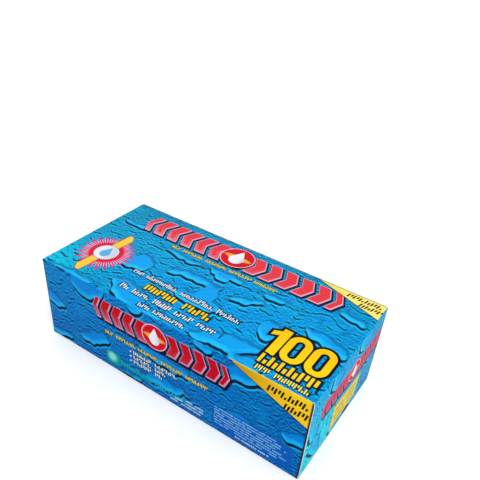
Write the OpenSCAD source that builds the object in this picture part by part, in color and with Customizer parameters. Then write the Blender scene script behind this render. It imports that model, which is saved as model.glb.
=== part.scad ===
// Dispensing carton of 100 folded-flat disposable gloves.
// A printed paperboard tube with a glued back seam, a tuck-in closure and two
// dust flaps at each end, and a perforated tear-out window in the top.
// +X runs along the carton, -Y is its front panel and +Z is up.
// The origin is the centre of the bottom face.

/* [Carton] */
// Length of the carton
carton_l = 240; // [200:1:300]
// Width of the carton, front to back
carton_w = 118; // [100:1:150]
// Height of the carton
carton_h = 75; // [60:1:100]
// Thickness of the paperboard
board_t = 0.5; // [0.4:0.05:0.6]

/* [Back seam] */
// Width of the glue flap that hangs inside the back panel
glue_flap_w = 20; // [14:1:26]
// Width of the strip of adhesive in the seam
glue_strip_w = 12; // [8:1:13]
// Thickness of the adhesive
glue_t = 0.1; // [0.05:0.05:0.15]

/* [End closures] */
// Gap at each side of an end closure
closure_gap = 0.6; // [0.4:0.1:1.2]
// Length of the tuck flap, from its crease to its free edge
tuck_len = 14; // [10:1:14]
// Upward slope of the tucked flap, in degrees
tuck_slope = 12; // [12:1:15]
// Corner radius of the tuck flap
tuck_corner_r = 8; // [4:1:9]

/* [Dust flaps] */
// Length of a dust flap, from its crease to its free edge
dust_len = 48; // [35:1:48]
// Height of a dust flap's lower edge at its crease
dust_lift = 3; // [3:0.5:5]
// Slope of a dust flap's upper edge, in degrees
dust_top_slope = 30; // [30:1:36]
// Slope of a dust flap's lower edge, in degrees
dust_low_slope = 14; // [10:1:16]
// Corner radius of a dust flap
dust_corner_r = 7; // [3:1:9]

/* [Dispensing window] */
// Length of the window, end to end
window_l = 140; // [110:1:160]
// Width of the window, which has half-round ends
window_w = 50; // [40:1:60]
// Width of the perforated cut around the tear-out panel
window_cut = 0.3; // [0.2:0.05:0.4]

/* [Gloves] */
// Length of a glove as it is packed, cuff to finger tips
glove_l = 205; // [160:1:207]
// Width of a glove as it is packed
glove_w = 105; // [80:1:107]
// Thickness of a glove pressed flat, which is two layers of film
glove_t = 0.18; // [0.14:0.02:0.3]
// Clear height left over the gloves
headspace = 8.5; // [6:0.5:12]

/* [Hidden] */

// Clearance between pieces of board that lie against each other
fold_gap = 0.15;
// Clearance under the upper edge of a dust flap, at its crease
dust_drop = 1.2;
// Clearance at each side of a tuck flap, beside the front and back panels
tuck_side_gap = 1;
// Points in each rounded corner of a flap
corner_steps = 6;
// Gloves in the carton
glove_count = 100;
// Gloves in one bundle below the ten loose gloves on top
bundle_size = 10;

// Outer faces
x_end = carton_l / 2;
y_front = -carton_w / 2;
y_back = carton_w / 2;
// Outer face of the glue flap, and the end of the top panel at its crease
y_seam = y_back - board_t - glue_t;
// Outer face of the dust flaps, where the front and back panels end
x_dust = x_end - board_t - fold_gap;
// Crease between an end closure and its tuck flap
z_tuck = board_t + fold_gap;
// How far a mitre runs back along the board at the tuck flap's crease
tuck_mitre = board_t / tan((90 - tuck_slope) / 2);
// Vertical pitch of the gloves, with the air that is trapped in and between them
glove_pitch = (carton_h - 2 * board_t - headspace) / glove_count;

// Colours
print_blue = [0.05, 0.42, 0.78];
print_deep = [0.03, 0.20, 0.55];
print_pale = [0.10, 0.55, 0.85];
bare_board = [0.80, 0.78, 0.73];
adhesive_cream = [0.90, 0.86, 0.70];
nitrile_blue = [0.20, 0.55, 0.86];
nitrile_deep = [0.16, 0.48, 0.80];

// ---- outlines -------------------------------------------------------------

function unit(v) = v / norm(v);

// The arc that rounds the corner at b of the path a, b, c
function corner_arc(a, b, c, r) =
    let (
        u = unit(a - b),
        v = unit(c - b),
        half = acos(u * v) / 2,
        centre = b + unit(u + v) * r / sin(half),
        first = b + u * r / tan(half) - centre,
        last = b + v * r / tan(half) - centre,
        start = atan2(first[1], first[0]),
        turn = atan2(first[0] * last[1] - first[1] * last[0], first * last)
    )
    [for (i = [0 : corner_steps])
        centre + r * [cos(start + turn * i / corner_steps), sin(start + turn * i / corner_steps)]];

// A closed outline whose corners after the first two are rounded
function rounded_flap(points, r) =
    let (n = len(points))
    concat([points[0], points[1]], [for (i = [2 : n - 1])
        each corner_arc(points[i - 1], points[i], points[(i + 1) % n], r)]);

// A slot with half-round ends
module stadium(length, width) {
    square([length - width, width], center = true);
    for (side = [-1, 1]) translate([side * (length - width) / 2, 0]) circle(d = width, $fn = 96);
}

// ---- placing --------------------------------------------------------------

// Sweeps a section drawn in Y and Z along the carton
module along_x(length)
    translate([-length / 2, 0, 0]) rotate([90, 0, 90]) linear_extrude(length) children();

// Sweeps a section drawn in X and Z across the carton
module along_y(low, high)
    translate([0, high, 0]) rotate([90, 0, 0]) linear_extrude(high - low) children();

module at_left_end() mirror([1, 0, 0]) children();

module at_back() mirror([0, 1, 0]) children();

// ---- the tube -------------------------------------------------------------

module top_panel() color(print_blue) difference() {
    intersection() {
        along_x(carton_l) polygon([
            [y_front, carton_h], [y_seam, carton_h],
            [y_seam - board_t, carton_h - board_t], [y_front + board_t, carton_h - board_t]]);
        along_y(y_front, y_back) polygon([
            [-x_end, carton_h], [x_end, carton_h],
            [x_end - board_t, carton_h - board_t], [-x_end + board_t, carton_h - board_t]]);
    }
    translate([0, 0, carton_h - 2 * board_t]) linear_extrude(3 * board_t)
        stadium(window_l, window_w);
}

// A side panel with its outer face at the front, its foot mitred to the bottom panel
// and its ends mitred to the dust flaps
module side_panel(top_inset) intersection() {
    along_x(2 * x_dust) polygon([
        [y_front, 0], [y_front, carton_h],
        [y_front + board_t, carton_h - top_inset], [y_front + board_t, board_t]]);
    linear_extrude(carton_h) polygon([
        [-x_dust, y_front], [x_dust, y_front],
        [x_dust - board_t, y_front + board_t], [-x_dust + board_t, y_front + board_t]]);
}

module front_panel() color(print_deep) side_panel(board_t);

module back_panel() color(print_deep) at_back() side_panel(0);

module bottom_panel() color(print_deep) along_x(carton_l) polygon([
    [y_front, 0], [y_back, 0], [y_back - board_t, board_t], [y_front + board_t, board_t]]);

module glue_flap() color(bare_board) along_x(2 * (x_dust - 2 * board_t)) polygon([
    [y_seam, carton_h], [y_seam, carton_h - glue_flap_w],
    [y_seam - board_t, carton_h - glue_flap_w], [y_seam - board_t, carton_h - board_t]]);

module seam_adhesive() color(adhesive_cream) along_x(2 * (x_dust - glue_strip_w))
    translate([y_seam, carton_h - (glue_flap_w + glue_strip_w) / 2])
    square([glue_t, glue_strip_w]);

module tear_out_panel() color(print_blue)
    translate([0, 0, carton_h - board_t]) linear_extrude(board_t)
    stadium(window_l - 2 * window_cut, window_w - 2 * window_cut);

// ---- the ends, drawn for the right end --------------------------------------

module closure_panel() color(print_pale)
    along_y(y_front + closure_gap, y_seam - closure_gap) polygon([
        [x_end, z_tuck], [x_end, carton_h],
        [x_end - board_t, carton_h - board_t], [x_end - board_t, z_tuck + tuck_mitre]]);

module tuck_flap() {
    half_w = carton_w / 2 - board_t - tuck_side_gap;
    outline = rounded_flap([
        [0, half_w], [0, -half_w],
        [-tuck_len, -half_w], [-tuck_len, half_w]], tuck_corner_r);
    color(bare_board) translate([x_end, 0, z_tuck]) rotate([0, tuck_slope, 0]) intersection() {
        linear_extrude(board_t) polygon(outline);
        along_y(y_front, y_back) polygon([
            [0, 0], [-carton_l, 0], [-carton_l, board_t], [-tuck_mitre, board_t]]);
    }
}

// The front dust flap: its outline stands in Y and Z, against the inside of the closure
module dust_flap() {
    z_top = carton_h - dust_drop;
    far = y_front + dust_len;
    outline = rounded_flap([
        [y_front, z_top], [y_front, dust_lift],
        [far, dust_lift + dust_len * tan(dust_low_slope)],
        [far, z_top - dust_len * tan(dust_top_slope)]], dust_corner_r);
    color(bare_board) intersection() {
        translate([x_dust - board_t, 0, 0]) rotate([90, 0, 90]) linear_extrude(board_t)
            polygon(outline);
        linear_extrude(carton_h) polygon([
            [x_dust, y_front], [x_dust, y_back],
            [x_dust - board_t, y_back], [x_dust - board_t, y_front + board_t]]);
    }
}

module right_closure_panel() closure_panel();
module right_tuck_flap() tuck_flap();
module right_front_dust_flap() dust_flap();
module right_back_dust_flap() at_back() dust_flap();
module left_closure_panel() at_left_end() closure_panel();
module left_tuck_flap() at_left_end() tuck_flap();
module left_front_dust_flap() at_left_end() dust_flap();
module left_back_dust_flap() at_left_end() at_back() dust_flap();

// ---- the gloves -----------------------------------------------------------

// A glove as it is packed: its cuff and palm, four fingers side by side, and a folded thumb
module glove_outline() {
    finger_w = glove_w / 4;
    slit = 1.2;
    reach = [0.93, 1, 0.97, 0.86];
    palm = 0.60 * glove_l;
    translate([-glove_l / 2, -glove_w / 2]) {
        square([palm, glove_w]);
        for (i = [0 : 3]) translate([0, i * finger_w + slit / 2]) {
            length = reach[i] * glove_l - finger_w / 2;
            square([length, finger_w - slit]);
            translate([length, (finger_w - slit) / 2]) circle(d = finger_w - slit, $fn = 32);
        }
    }
}

// Glove number n, counted from the top, in the middle of its share of the height;
// every other one points the other way
module glove(n)
    translate([0, 0, board_t + (glove_count - n + 0.5) * glove_pitch - glove_t / 2])
    rotate([0, 0, 180 * (n % 2)]) linear_extrude(glove_t) glove_outline();

module loose_glove(n) color(nitrile_blue) glove(n);

module bundle(first) color(nitrile_deep)
    for (n = [first : first + bundle_size - 1]) glove(n);

top_panel();
front_panel();
bottom_panel();
back_panel();
glue_flap();
seam_adhesive();
tear_out_panel();
right_closure_panel();
right_tuck_flap();
right_front_dust_flap();
right_back_dust_flap();
left_closure_panel();
left_tuck_flap();
left_front_dust_flap();
left_back_dust_flap();
loose_glove(1);  // glove_01
loose_glove(2);  // glove_02
loose_glove(3);  // glove_03
loose_glove(4);  // glove_04
loose_glove(5);  // glove_05
loose_glove(6);  // glove_06
loose_glove(7);  // glove_07
loose_glove(8);  // glove_08
loose_glove(9);  // glove_09
loose_glove(10);  // glove_10
bundle(11);  // gloves_011_020
bundle(21);  // gloves_021_030
bundle(31);  // gloves_031_040
bundle(41);  // gloves_041_050
bundle(51);  // gloves_051_060
bundle(61);  // gloves_061_070
bundle(71);  // gloves_071_080
bundle(81);  // gloves_081_090
bundle(91);  // gloves_091_100
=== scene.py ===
"""The looks of a glove dispensing carton: printed board that folds at rounded creases, and
a pile of flat-packed nitrile gloves.

Meshes are in metres. The printing is laid out in millimetres on a flat sheet, and the UV
map named Art says where on it each point lies. On the top, X runs along the carton and Y
from front to back, and both run on over the creases to the sides and the ends.
"""
import math
import random

import bpy
import bmesh
from mathutils import Matrix, Vector, noise


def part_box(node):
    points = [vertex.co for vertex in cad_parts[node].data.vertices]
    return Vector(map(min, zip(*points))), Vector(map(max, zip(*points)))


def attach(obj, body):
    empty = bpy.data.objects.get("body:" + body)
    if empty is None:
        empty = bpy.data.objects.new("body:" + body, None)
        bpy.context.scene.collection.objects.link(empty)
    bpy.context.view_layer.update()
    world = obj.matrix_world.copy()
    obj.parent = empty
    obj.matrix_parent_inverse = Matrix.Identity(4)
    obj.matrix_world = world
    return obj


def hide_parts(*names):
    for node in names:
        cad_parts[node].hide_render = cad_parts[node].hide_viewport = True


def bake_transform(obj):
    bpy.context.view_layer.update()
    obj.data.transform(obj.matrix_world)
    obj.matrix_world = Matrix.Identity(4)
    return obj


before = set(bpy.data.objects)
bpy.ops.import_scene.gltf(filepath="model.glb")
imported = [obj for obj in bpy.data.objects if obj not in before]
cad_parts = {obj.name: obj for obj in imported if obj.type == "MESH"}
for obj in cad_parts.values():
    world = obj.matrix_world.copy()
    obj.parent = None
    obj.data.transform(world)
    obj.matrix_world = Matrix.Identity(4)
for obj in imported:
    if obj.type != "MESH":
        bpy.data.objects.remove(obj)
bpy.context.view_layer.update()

MM = 0.001

# ---- sizes, from the frame -------------------------------------------------

TOP_LOW, TOP_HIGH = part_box("top_panel")
X_END = TOP_HIGH.x                                  # outer face of an end closure
Y_FRONT = TOP_LOW.y                                 # outer face of the front panel
Y_SEAM = TOP_HIGH.y                                 # outer face of the glue flap
HEIGHT = TOP_HIGH.z
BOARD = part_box("bottom_panel")[1].z                 # thickness of the board
Y_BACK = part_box("back_panel")[1].y
X_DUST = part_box("front_panel")[1].x                 # outer face of the dust flaps
Z_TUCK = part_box("right_closure_panel")[0].z         # crease of a tuck flap
WINDOW_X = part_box("tear_out_panel")[1].x            # half sizes of the tear-out panel
WINDOW_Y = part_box("tear_out_panel")[1].y
WINDOW_CUT = 0.05 * MM                              # cut on each side of its edge
CREASE_R = 0.7 * MM                                 # outer radius of a creased edge

ART_X = X_END / MM
ART_Y = -Y_FRONT / MM
ART_H = HEIGHT / MM
PRINT_DENSITY = 0.72
SHEET = 1024.0                                      # a span that holds the whole sheet


# ---- shader arithmetic -----------------------------------------------------

def srgb(red, green, blue):
    """A linear colour from 0 to 255 screen values."""
    def linear(value):
        value /= 255
        return value / 12.92 if value <= 0.04045 else ((value + 0.055) / 1.055) ** 2.4
    return linear(red), linear(green), linear(blue), 1.0


def print_ink(red, green, blue):
    """A printed colour, given as it looks in the bright studio light, where a third of it is
    brought by the light."""
    return tuple(PRINT_DENSITY * part for part in srgb(red, green, blue)[:3]) + (1.0,)


class Field:
    """A number that varies over a surface. Its arithmetic, listed below, adds Math nodes."""

    def __init__(self, tree, socket):
        self.tree = tree
        self.socket = socket

    def maths(self, operation, *others, clamp=False):
        node = self.tree.nodes.new("ShaderNodeMath")
        node.operation = operation
        node.use_clamp = clamp
        for slot, value in enumerate((self, *others)):
            if isinstance(value, Field):
                self.tree.links.new(value.socket, node.inputs[slot])
            else:
                node.inputs[slot].default_value = value
        return Field(self.tree, node.outputs[0])

    def scaled(self, factor, offset, clamp=False):
        """This number times factor plus offset, in one node."""
        return self.maths("MULTIPLY_ADD", factor, offset, clamp=clamp)

    def ramp(self, low, high):
        """0 below low and 1 above high, with a smooth rise between; low may be the larger."""
        node = self.tree.nodes.new("ShaderNodeMapRange")
        node.interpolation_type = "SMOOTHSTEP"
        self.tree.links.new(self.socket, node.inputs["Value"])
        node.inputs["From Min"].default_value = min(low, high)
        node.inputs["From Max"].default_value = max(low, high)
        node.inputs["To Min"].default_value = 0.0 if low < high else 1.0
        node.inputs["To Max"].default_value = 1.0 if low < high else 0.0
        return Field(self.tree, node.outputs[0])

    def inside(self, soft=0.25):
        """1 where this distance is negative and 0 where it is positive."""
        return self.scaled(-1 / soft, 0.5, clamp=True)


def maths_method(operation, *fixed):
    return lambda field, *others: field.maths(operation, *fixed, *others)


for method, operation, *fixed in (
        ("__add__", "ADD"), ("__sub__", "SUBTRACT"), ("__mul__", "MULTIPLY"),
        ("__truediv__", "DIVIDE"), ("__neg__", "MULTIPLY", -1.0), ("__abs__", "ABSOLUTE"),
        ("least", "MINIMUM"), ("most", "MAXIMUM"), ("fraction", "FRACT"), ("floor", "FLOOR")):
    setattr(Field, method, maths_method(operation, *fixed))


class Paint:
    """One procedural material: its coordinates, the colour built up so far, and its shader.
    Nodes are added in the order they are worked out, which keeps a long material small
    enough to render."""

    def __init__(self, name):
        self.material = bpy.data.materials.new(name)
        self.material.use_nodes = True
        self.tree = self.material.node_tree
        self.shader = self.tree.nodes["Principled BSDF"]
        self.colour = None

    def node(self, kind, **settings):
        node = self.tree.nodes.new(kind)
        for key, value in settings.items():
            setattr(node, key, value)
        return node

    def link(self, source, target):
        self.tree.links.new(source.socket if isinstance(source, Field) else source, target)

    def art(self):
        """The place on the flat printed sheet, in millimetres, as a vector and two numbers. A
        linear gradient reads X off the vector, and Y once the vector is turned."""
        place = self.node("ShaderNodeUVMap", uv_map="Art").outputs["UV"]
        numbers = []
        for turn in (0.0, -math.pi / 2):
            share = self.moved(place, offset=(0.5, 0, 0), scale=(1 / SHEET,) * 3, turn=turn)
            gradient = self.node("ShaderNodeTexGradient", gradient_type="LINEAR")
            self.link(share, gradient.inputs["Vector"])
            number = Field(self.tree, gradient.outputs["Fac"])
            numbers.append(number.scaled(SHEET, -SHEET / 2))
        return place, *numbers

    def solid(self):
        """The place in the carton, in millimetres, as a vector."""
        place = self.node("ShaderNodeTexCoord")
        return self.moved(place.outputs["Object"], scale=(1 / MM,) * 3)

    def moved(self, vector, offset=(0, 0, 0), scale=(1, 1, 1), turn=0.0):
        node = self.node("ShaderNodeMapping")
        node.inputs["Location"].default_value = offset
        node.inputs["Scale"].default_value = scale
        node.inputs["Rotation"].default_value = (0, 0, turn)
        self.link(vector, node.inputs["Vector"])
        return node.outputs[0]

    def noise(self, vector, size, detail=2.0, roughness=0.5, stretch=(1, 1, 1), turn=0.0,
              seed=0.0):
        """Noise from 0 to 1 whose features are about size millimetres across."""
        scale = tuple(1 / (size * s) for s in stretch)
        place = self.moved(vector, offset=(0, 0, seed), scale=scale, turn=turn)
        node = self.node("ShaderNodeTexNoise", noise_dimensions="3D")
        node.inputs["Scale"].default_value = 1.0
        node.inputs["Detail"].default_value = detail
        node.inputs["Roughness"].default_value = roughness
        self.link(place, node.inputs["Vector"])
        return Field(self.tree, node.outputs["Fac"])

    def chance(self, number, seed):
        """A random number from 0 to 1 for each whole number."""
        place = number + seed
        node = self.node("ShaderNodeTexWhiteNoise", noise_dimensions="1D")
        self.link(place, node.inputs["W"])
        return Field(self.tree, node.outputs["Value"])

    def ink(self, cover, colour, strength=1.0):
        """Lays a colour, or another paint's colour socket, over what is there by cover."""
        if not isinstance(cover, (int, float)) and strength != 1.0:
            cover = cover * strength
        mix = self.node("ShaderNodeMix", data_type="RGBA")
        factor = mix.inputs[0]
        if isinstance(cover, (int, float)):
            factor.default_value = cover
        else:
            self.link(cover, factor)
        base, top = mix.inputs[6], mix.inputs[7]
        if isinstance(self.colour, tuple):
            base.default_value = self.colour
        else:
            self.link(self.colour, base)
        if isinstance(colour, tuple):
            top.default_value = colour
        else:
            self.link(colour, top)
        self.colour = mix.outputs[2]

    def finish(self, roughness, bump=None, specular=0.5):
        """Puts the colour on the shader. bump is (height in millimetres, strength)."""
        if isinstance(self.colour, tuple):
            self.shader.inputs["Base Color"].default_value = self.colour
        else:
            self.link(self.colour, self.shader.inputs["Base Color"])
        if isinstance(roughness, Field):
            self.link(roughness, self.shader.inputs["Roughness"])
        else:
            self.shader.inputs["Roughness"].default_value = roughness
        self.shader.inputs["Specular IOR Level"].default_value = specular
        if bump:
            height, strength = bump
            node = self.node("ShaderNodeBump")
            node.inputs["Distance"].default_value = MM
            node.inputs["Strength"].default_value = strength
            self.link(height, node.inputs["Height"])
            self.link(node.outputs[0], self.shader.inputs["Normal"])
        return self.material


# ---- shapes on the printed sheet, as distances in millimetres ----------------

def bar(x, y, centre, size, slant=0.0):
    """A rectangle, with its sides leaning slant millimetres for each one of height."""
    across = x - centre[0]
    up = y - centre[1]
    if slant:
        across = across - up * slant
    return (abs(across) - size[0] / 2).most(abs(up) - size[1] / 2)


def oval(x, y, centre, radii):
    across = (x - centre[0]) / radii[0]
    up = (y - centre[1]) / radii[1]
    length = (across * across + up * up).maths("SQRT")
    return length.scaled(min(radii), -min(radii))


# ---- the printed water drops -------------------------------------------------

def drop_group(name, drops):
    """A node group that gives a drop's height at a point. drops are
    (centre x, centre y, half length, half width, turn in degrees)."""
    group = bpy.data.node_groups.new(name, "ShaderNodeTree")
    group.interface.new_socket("Place", in_out="INPUT", socket_type="NodeSocketVector")
    group.interface.new_socket("Height", in_out="OUTPUT", socket_type="NodeSocketFloat")
    entry = group.nodes.new("NodeGroupInput")
    leave = group.nodes.new("NodeGroupOutput")
    total = None
    for x, y, length, width, turn in drops:
        place = group.nodes.new("ShaderNodeMapping")
        place.vector_type = "TEXTURE"
        place.inputs["Location"].default_value = (x, y, 0)
        place.inputs["Rotation"].default_value = (0, 0, math.radians(turn))
        place.inputs["Scale"].default_value = (2 * length, 2 * width, 1)
        group.links.new(entry.outputs[0], place.inputs["Vector"])
        reach = group.nodes.new("ShaderNodeTexGradient")
        reach.gradient_type = "SPHERICAL"
        group.links.new(place.outputs[0], reach.inputs["Vector"])
        height = Field(group, reach.outputs["Fac"]).scaled(2 * width, -width)
        total = height if total is None else total.maths("SMOOTH_MAX", height, 2.0)
    group.links.new(total.socket, leave.inputs[0])
    return group


def big_drops(paint, place, drops, light, dark, glow):
    """Large smooth drops, lit from above. Each has a body that is brighter low down, a dark
    shadow along its lower side, and a bright line beyond that."""
    group = drop_group(paint.material.name + "_drops", drops)

    def height_at(dx, dy):
        moved = paint.moved(place, offset=(dx, dy, 0))
        node = paint.node("ShaderNodeGroup", node_tree=group)
        paint.link(moved, node.inputs[0])
        wander = paint.noise(moved, 8.5, 0.7, 0.4) * 6.6 - 3.3
        return Field(paint.tree, node.outputs[0]) + wander

    here = height_at(0, 0)
    body = here.ramp(-0.15, 0.15)
    outside = body.scaled(-1.0, 1.0)
    above = height_at(-0.6, 2.9).ramp(-0.45, 0.5)
    paint.ink(height_at(-1.0, 4.2).ramp(-0.5, 0.5) * outside, glow, 0.85)
    paint.ink(body, light, 0.8)
    paint.ink(body * height_at(0.4, -4.4).ramp(1.5, -2.4), glow, 0.75)
    paint.ink(body * height_at(0.5, 2.2).ramp(0.9, -0.9), dark, 0.45)
    paint.ink(abs(here + 0.3).ramp(0.8, 0.1), dark, 0.3)
    paint.ink(above * outside, dark, 0.98)


def small_drops(paint, place, size, stretch, turn, level, light, dark, seed, strength=1.0):
    """Scattered drops and streaks of one size, lit from above."""
    def height_at(dx, dy):
        moved = paint.moved(place, offset=(dx * size, dy * size, 0))
        cloud = paint.noise(moved, size, 0.6, 0.4, (stretch, 1, 1), turn, seed)
        return cloud.scaled(size * 3, -level * size * 3)

    body = height_at(0, 0).ramp(-0.15, 0.3)
    outside = body.scaled(-1.0, 1.0)
    paint.ink(height_at(-0.12, 0.62).ramp(-0.1, 0.35) * outside, light, 0.75 * strength)
    paint.ink(body * height_at(0.05, -0.3).ramp(0.3, -0.5), light, 0.65 * strength)
    paint.ink(height_at(-0.08, 0.38).ramp(-0.2, 0.35) * outside, dark, strength)


def wet_grain(paint, place, size, stretch, turn, light, dark, strength, seed):
    """Fine rough water, lit from above."""
    def height_at(dx, dy):
        moved = paint.moved(place, offset=(dx, dy, 0))
        return paint.noise(moved, size, 1.6, 0.5, (stretch, 1, 1), turn, seed)

    slope = (height_at(0, 0) - height_at(-0.15 * size, 0.35 * size)) * 6.0
    paint.ink(slope.maths("MULTIPLY", 1.0, clamp=True), light, strength)
    paint.ink((-slope).maths("MULTIPLY", 1.0, clamp=True), dark, strength)


# ---- the printing ------------------------------------------------------------

NAVY = print_ink(0, 22, 62)
INK_BLACK = print_ink(12, 12, 24)
RED = print_ink(215, 14, 34)
PINK = print_ink(238, 190, 214)
YELLOW = print_ink(255, 214, 20)
GOLD = print_ink(240, 170, 0)
PALE = print_ink(225, 238, 250)

# Big drops on each face: centre x and y, half length, half width, turn
TOP_DROPS = [
    (-57, -13, 12, 10, -35), (-62, -20, 12, 5, 10), (-12, -3.5, 19, 4.2, 2), (-27, -6.5, 7, 3, 20),
    (35, -3, 11, 3.8, 28), (3, 13.5, 17, 4.5, 0), (4, 9.5, 7, 4.5, 0), (-37, 13, 17, 3, -7),
    (50, 13, 15, 3, 6), (8, -14, 8, 9, 0), (6, -24, 21, 7.5, 0), (98, -4, 15, 5.5, -12),
    (112, -8, 7, 5, -30), (64, -19, 8, 11, 15), (-98, 27, 12, 2.6, -3), (107, 29, 11, 3.4, -6),
    (-40, -47, 19, 9.5, -14), (-22, -56, 18, 6, 0), (48, -47, 24, 8, 16), (70, -54, 14, 7, 20),
    (-88, -57, 20, 3.5, 4),
]
SIDE_DROPS = [
    (-75, -63, 13.5, 12, -8), (-65, -62, 12, 8, 0), (-112, -93, 12, 6.5, -12), (-67, -111, 17, 7, 27),
    (-60, -107, 9, 5, 10), (-24, -59, 7, 4.5, 0), (37, -59, 8, 5.5, 0), (70, -66, 19, 7, 12),
    (58, -72, 9, 5, 25), (114, -97, 10, 6, 15), (3, -94, 25, 6, -3), (5, -117, 21, 6, 4),
    (70, -108, 9, 6, 0), (-108, -128, 13, 3.5, 5), (-30, -130, 10, 3, 0),
]
END_DROPS = [
    (128, -24, 8, 9, 20), (126, 22, 7, 12, 10), (150, 40, 9, 8, 30), (176, -42, 10, 8, 15),
    (158, -48, 6, 7, 20), (186, 30, 7, 12, 8), (188, -8, 5, 9, 0),
]
FLOOR_DROPS = [
    (-80, -160, 22, 12, 20), (-20, -200, 26, 11, -12), (60, -170, 22, 13, 8), (90, -225, 18, 9, -20),
    (-95, -222, 16, 10, 12), (15, -150, 15, 7, 5),
]


def chevron_banner(paint, x, y, left, right, base, height, pitch, red, pale):
    """A plain banner of red chevrons that point outwards from its middle, with pale edges and
    a dark shadow to the lower right."""
    middle = (left + right) / 2
    half = (right - left) / 2

    def strokes(grow, dx, dy):
        across = abs(x - (middle + dx))
        up = abs(y - (base + height / 2 + dy))
        reach = across + up * 0.42
        stroke = (abs((reach / pitch).fraction() - 0.5) - 0.31) * (pitch * 0.92)
        return stroke.most(reach - half).most(up - height / 2) - grow

    paint.ink(strokes(1.7, 1.7, -2.1).inside(0.8), print_ink(4, 8, 36), 0.97)
    paint.ink(strokes(0.4, 0.8, -0.9).inside(0.3), pale)
    face = strokes(0, 0, 0)
    paint.ink((face - 0.4).inside(0.3), pale)
    paint.ink(face.inside(0.3), red)
    fade = y.ramp(base + height * 0.7, base - height * 0.1) * x.ramp(right, left - half)
    paint.ink(face.inside(0.3) * fade * (face + 2.6).ramp(-0.9, 1.2), pale, 0.8)


def water_drop(x, y, point, bulb_radius, tip_height):
    """A plain drop: a round bulb at point, under a tip. It returns how far across it is too."""
    across = x - point[0]
    up = y - point[1]
    bulb = (across * across + up * up).maths("SQRT") - bulb_radius
    tip = (abs(across) * 1.9 + up - tip_height).most(-up)
    return bulb.least(tip * 0.46), across


def drop_badge(paint, x, y, centre, radius):
    """A red disc with a plain white water drop and a gold streak behind it."""
    away = oval(x, y, centre, (radius, radius * 0.95))
    paint.ink(oval(x, y, (centre[0] + 0.8, centre[1] - 1), (radius + 1.2,) * 2).inside(0.8), NAVY)
    paint.ink((away - 0.8).inside(0.3), PINK)
    paint.ink(away.inside(0.3), RED)
    streak = oval(x, y, centre, (radius * 0.86, radius * 0.2))
    paint.ink(streak.inside(0.8), print_ink(255, 176, 60), 0.9)
    drop, across = water_drop(x, y, (centre[0], centre[1] - radius * 0.22), radius * 0.42,
                              radius * 0.98)
    paint.ink(drop.inside(0.3), print_ink(240, 244, 250))
    shade = (across - radius * 0.1).ramp(-1.0, radius * 0.4)
    paint.ink(drop.inside(0.3) * shade, print_ink(170, 186, 210), 0.6)


def starburst(paint, x, y, centre, radius, points):
    """A pointed burst of pink and red. It returns the distance from its centre."""
    across = x - centre[0]
    up = y - centre[1]
    angle = up.maths("ARCTAN2", across)
    length = (across * across + up * up).maths("SQRT")
    spike = abs((angle * (points / math.tau)).fraction() - 0.5) * 2.0
    uneven = (angle * 5.0 + 0.7).maths("SINE") * 0.1 + 1.0
    reach = spike * (radius * 0.42) * uneven + radius * 0.60
    paint.ink((length - reach - 0.8).inside(0.8), print_ink(70, 10, 90), 0.8)
    paint.ink((length - reach).inside(0.4), print_ink(222, 44, 124))
    fine = abs((angle * (points * 2.5 / math.tau)).fraction() - 0.5)
    ring = length.ramp(radius * 0.52, radius * 0.66) * length.ramp(radius * 0.92, radius * 0.72)
    paint.ink(fine.ramp(0.28, 0.4) * ring, print_ink(252, 215, 228), 0.85)
    paint.ink((length - radius * 0.58).inside(1.2), print_ink(226, 26, 48))
    return length


def numerals(paint, x, y, left, base, height):
    """The number 100 in plain round figures with a black outline."""
    middle = base + height / 2

    def nought(centre):
        across = x - centre
        up = abs(y - middle)
        rings = []
        for core, radius in ((0.20, 0.30), (0.215, 0.115)):
            end = (up - core * height).most(0.0)
            rings.append((across * across + end * end).maths("SQRT") - radius * height)
        return rings[0].most(-rings[1])

    stem = bar(x, y, (left + height * 0.34, middle), (height * 0.23, height))
    flag = bar(x, y - (x - left) * 0.42, (left + height * 0.17, base + height * 0.70),
               (height * 0.3, height * 0.17))
    shape = stem.least(flag).least(nought(left + height * 0.80)).least(nought(left + height * 1.45))
    paint.ink((shape - 2.1).inside(0.5), INK_BLACK)
    paint.ink(shape.inside(0.35), YELLOW)
    paint.ink(shape.inside(0.35) * y.ramp(base + height * 0.1, base + height * 0.8), GOLD, 0.3)


def words(paint, x, y, left, right, base, height, pitch, colour, seed, word=7.0):
    """A line of fine dummy text: upright ticks in groups of about as many as word says."""
    cell = (x - left) / pitch
    chance = paint.chance(cell.floor(), seed)
    swing = (cell * (3.1 / word)).maths("SINE") * 0.22
    group = (cell / word + swing + seed * 0.37).fraction()
    across = (abs(cell.fraction() - 0.5) - chance * 0.16 - 0.28) * pitch
    size = (chance * 7.3).fraction() * (height * 0.3) + height * 0.7
    rise = (y - base - size).most(-(y - base))
    ends = abs(x - (left + right) / 2) - (right - left) / 2
    tick = across.most(rise).most(ends).most((group - 0.13) * -(pitch * word))
    paint.ink(tick.inside(0.3), colour)


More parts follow.
